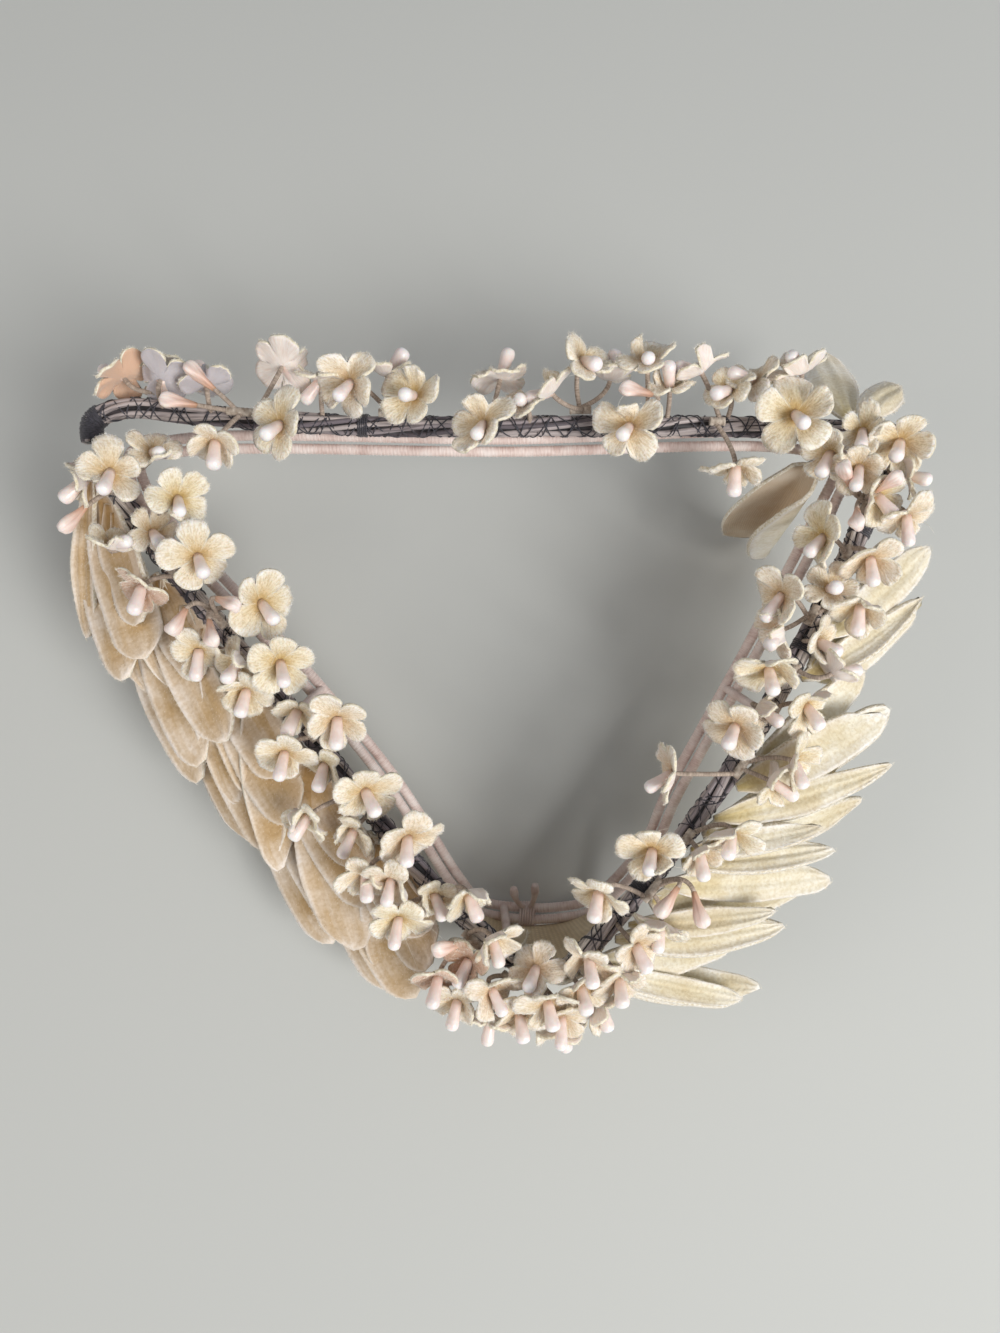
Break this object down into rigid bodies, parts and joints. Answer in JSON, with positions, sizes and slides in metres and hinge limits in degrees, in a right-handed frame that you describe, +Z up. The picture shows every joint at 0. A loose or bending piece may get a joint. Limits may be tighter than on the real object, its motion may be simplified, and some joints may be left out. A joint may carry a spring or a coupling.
{
  "type": "bridal headpiece",
  "caption": "Pointed wire-frame bridal headpiece, open in the middle, with bound flower stems round its rim, velvet blossoms with wax stamens, and wings of long velvet leaves down both sides.",
  "frame": {"origin": "middle of the footprint at the height of the surface that the headpiece stands on", "axes": "+X across to the wearer's left and the picture's right, +Y from the pointed front to the straight back bar, +Z up"},
  "size_m": [0.1904, 0.157, 0.0601],
  "materials": {
    "silk_wire": "fine silk thread wound round a wire, soft sheen",
    "bound_stem": "bundled stems bound with dark crossed thread",
    "velvet_leaf": "cream velvet with a short pile and a woven back",
    "velvet_petal": "embossed cream velvet, ochre at the centre, paler fuzzy edges",
    "wax": "dipped wax, pink-white, softly glossy"
  },
  "bodies": {
    "root": {"wire_frame": "silk_wire", "stem_left": "bound_stem", "stem_right": "bound_stem", "stem_back": "bound_stem", "leaves_left_1": "velvet_leaf", "leaves_left_2": "velvet_leaf", "leaves_left_3": "velvet_leaf", "leaves_left_4": "velvet_leaf", "leaves_left_5": "velvet_leaf", "leaves_right_1": "velvet_leaf", "leaves_right_2": "velvet_leaf", "leaves_right_3": "velvet_leaf", "leaves_right_4": "velvet_leaf", "leaves_right_5": "velvet_leaf", "leaf_corner_left": "velvet_leaf", "leaf_corner_right": "velvet_leaf", "leaf_corner_back": "velvet_leaf", "leaf_corner_side": "velvet_leaf", "leaf_front_left": "velvet_leaf", "leaf_front_right": "velvet_leaf", "sprig_back_1": "velvet_petal", "sprig_back_2": "velvet_petal", "sprig_back_3": "velvet_petal", "sprig_back_4": "velvet_petal", "sprig_back_5": "velvet_petal", "sprig_back_6": "velvet_petal", "sprig_back_7": "velvet_petal", "sprig_back_8": "velvet_petal", "sprig_back_9": "velvet_petal", "sprig_right_1": "velvet_petal", "sprig_right_2": "velvet_petal", "sprig_right_3": "velvet_petal", "sprig_right_4": "velvet_petal", "sprig_right_5": "velvet_petal", "sprig_right_6": "velvet_petal", "sprig_right_7": "velvet_petal", "sprig_right_8": "velvet_petal", "sprig_front_1": "velvet_petal", "sprig_front_2": "velvet_petal", "sprig_front_3": "velvet_petal", "sprig_left_1": "velvet_petal", "sprig_left_2": "velvet_petal", "sprig_left_3": "velvet_petal", "sprig_left_4": "velvet_petal", "sprig_left_5": "velvet_petal", "sprig_left_6": "velvet_petal", "sprig_left_7": "velvet_petal", "sprig_left_8": "velvet_petal", "sprig_left_9": "velvet_petal", "sprig_left_10": "velvet_petal"}
  },
  "joints": []
}
